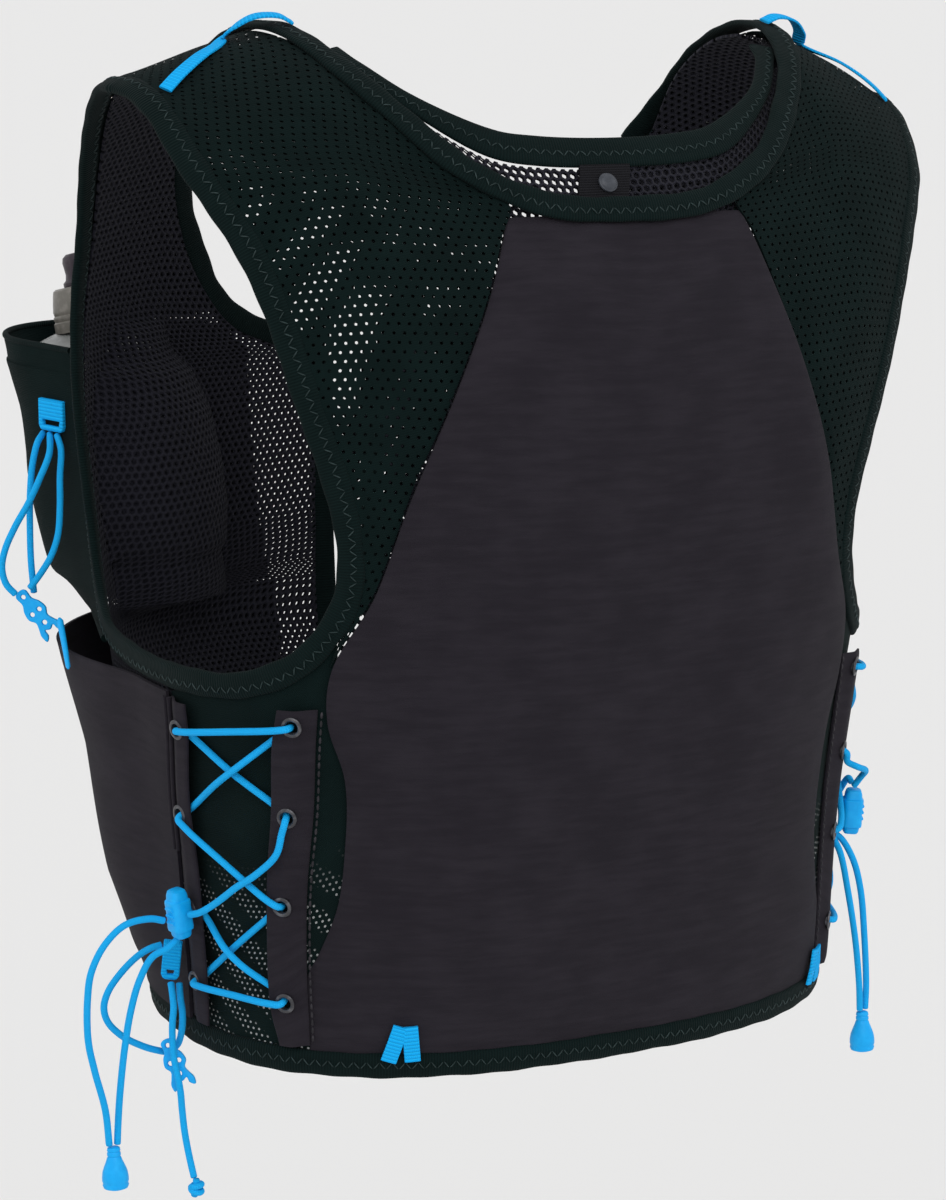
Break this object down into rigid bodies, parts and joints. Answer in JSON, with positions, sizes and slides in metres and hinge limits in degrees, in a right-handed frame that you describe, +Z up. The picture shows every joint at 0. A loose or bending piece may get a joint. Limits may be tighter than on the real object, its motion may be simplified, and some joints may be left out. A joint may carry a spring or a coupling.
{
  "type": "running hydration vest",
  "caption": "Sleeveless running vest with honeycomb mesh lining, a full back panel, laced sides, front pockets holding soft flasks, and hanging adjustment cords.",
  "frame": {"origin": "midway between the two shoulder tops, where the vest rests on its wearer", "axes": "+Z up, the wearer faces -Y, the wearer's left is +X"},
  "size_m": [0.3805, 0.2875, 0.4707],
  "materials": {
    "charcoal_cloth": "smooth tight weave, matt",
    "dark_knit": "fine ribbed knit, matt",
    "honeycomb_mesh": "three-layer honeycomb mesh",
    "blue_cord": "round braided cord",
    "blue_webbing": "woven tape",
    "blue_moulding": "satin moulding",
    "snap_metal": "dark satin cap",
    "flask_cap_plastic": "smoky satin",
    "flask_film": "clear soft film"
  },
  "bodies": {
    "root": {"armhole_binding_left": "dark_knit", "armhole_binding_right": "dark_knit", "back_mesh": "honeycomb_mesh", "back_panel": "charcoal_cloth", "cord_end_left": "blue_moulding", "cord_end_right": "blue_moulding", "cord_lock_left": "blue_moulding", "cord_lock_right": "blue_moulding", "flask_cap_left": "flask_cap_plastic", "flask_cap_right": "flask_cap_plastic", "flask_left": "flask_film", "flask_pocket_left": "dark_knit", "flask_pocket_right": "dark_knit", "flask_right": "flask_film", "front_binding_left": "dark_knit", "front_binding_right": "dark_knit", "front_eyelet_strip_left": "charcoal_cloth", "front_eyelet_strip_right": "charcoal_cloth", "front_panel_left": "honeycomb_mesh", "front_panel_right": "honeycomb_mesh", "hanger_tab": "dark_knit", "hem_binding": "dark_knit", "hem_loop_left": "blue_webbing", "hem_loop_right": "blue_webbing", "lace_left": "blue_cord", "lace_right": "blue_cord", "lace_tail_long_left": "blue_cord", "lace_tail_long_right": "blue_cord", "lace_tail_short_left": "blue_cord", "lace_tail_short_right": "blue_cord", "lower_cord": "blue_cord", "lower_hook": "blue_moulding", "lower_pocket_left": "charcoal_cloth", "lower_pocket_right": "charcoal_cloth", "lower_string": "blue_cord", "lower_tab": "blue_webbing", "neck_binding": "dark_knit", "neck_lining_binding": "dark_knit", "rear_eyelet_strip_left": "charcoal_cloth", "rear_eyelet_strip_right": "charcoal_cloth", "shoulder_loop_left": "blue_webbing", "shoulder_loop_right": "blue_webbing", "side_panel_left": "dark_knit", "side_panel_right": "dark_knit", "snap": "snap_metal", "string_knot": "blue_cord", "upper_cord_1": "blue_cord", "upper_cord_2": "blue_cord", "upper_cord_3": "blue_cord", "upper_hook": "blue_moulding", "upper_tab": "blue_webbing", "upper_toggle": "blue_cord", "yoke_left": "dark_knit", "yoke_right": "dark_knit"}
  },
  "joints": []
}
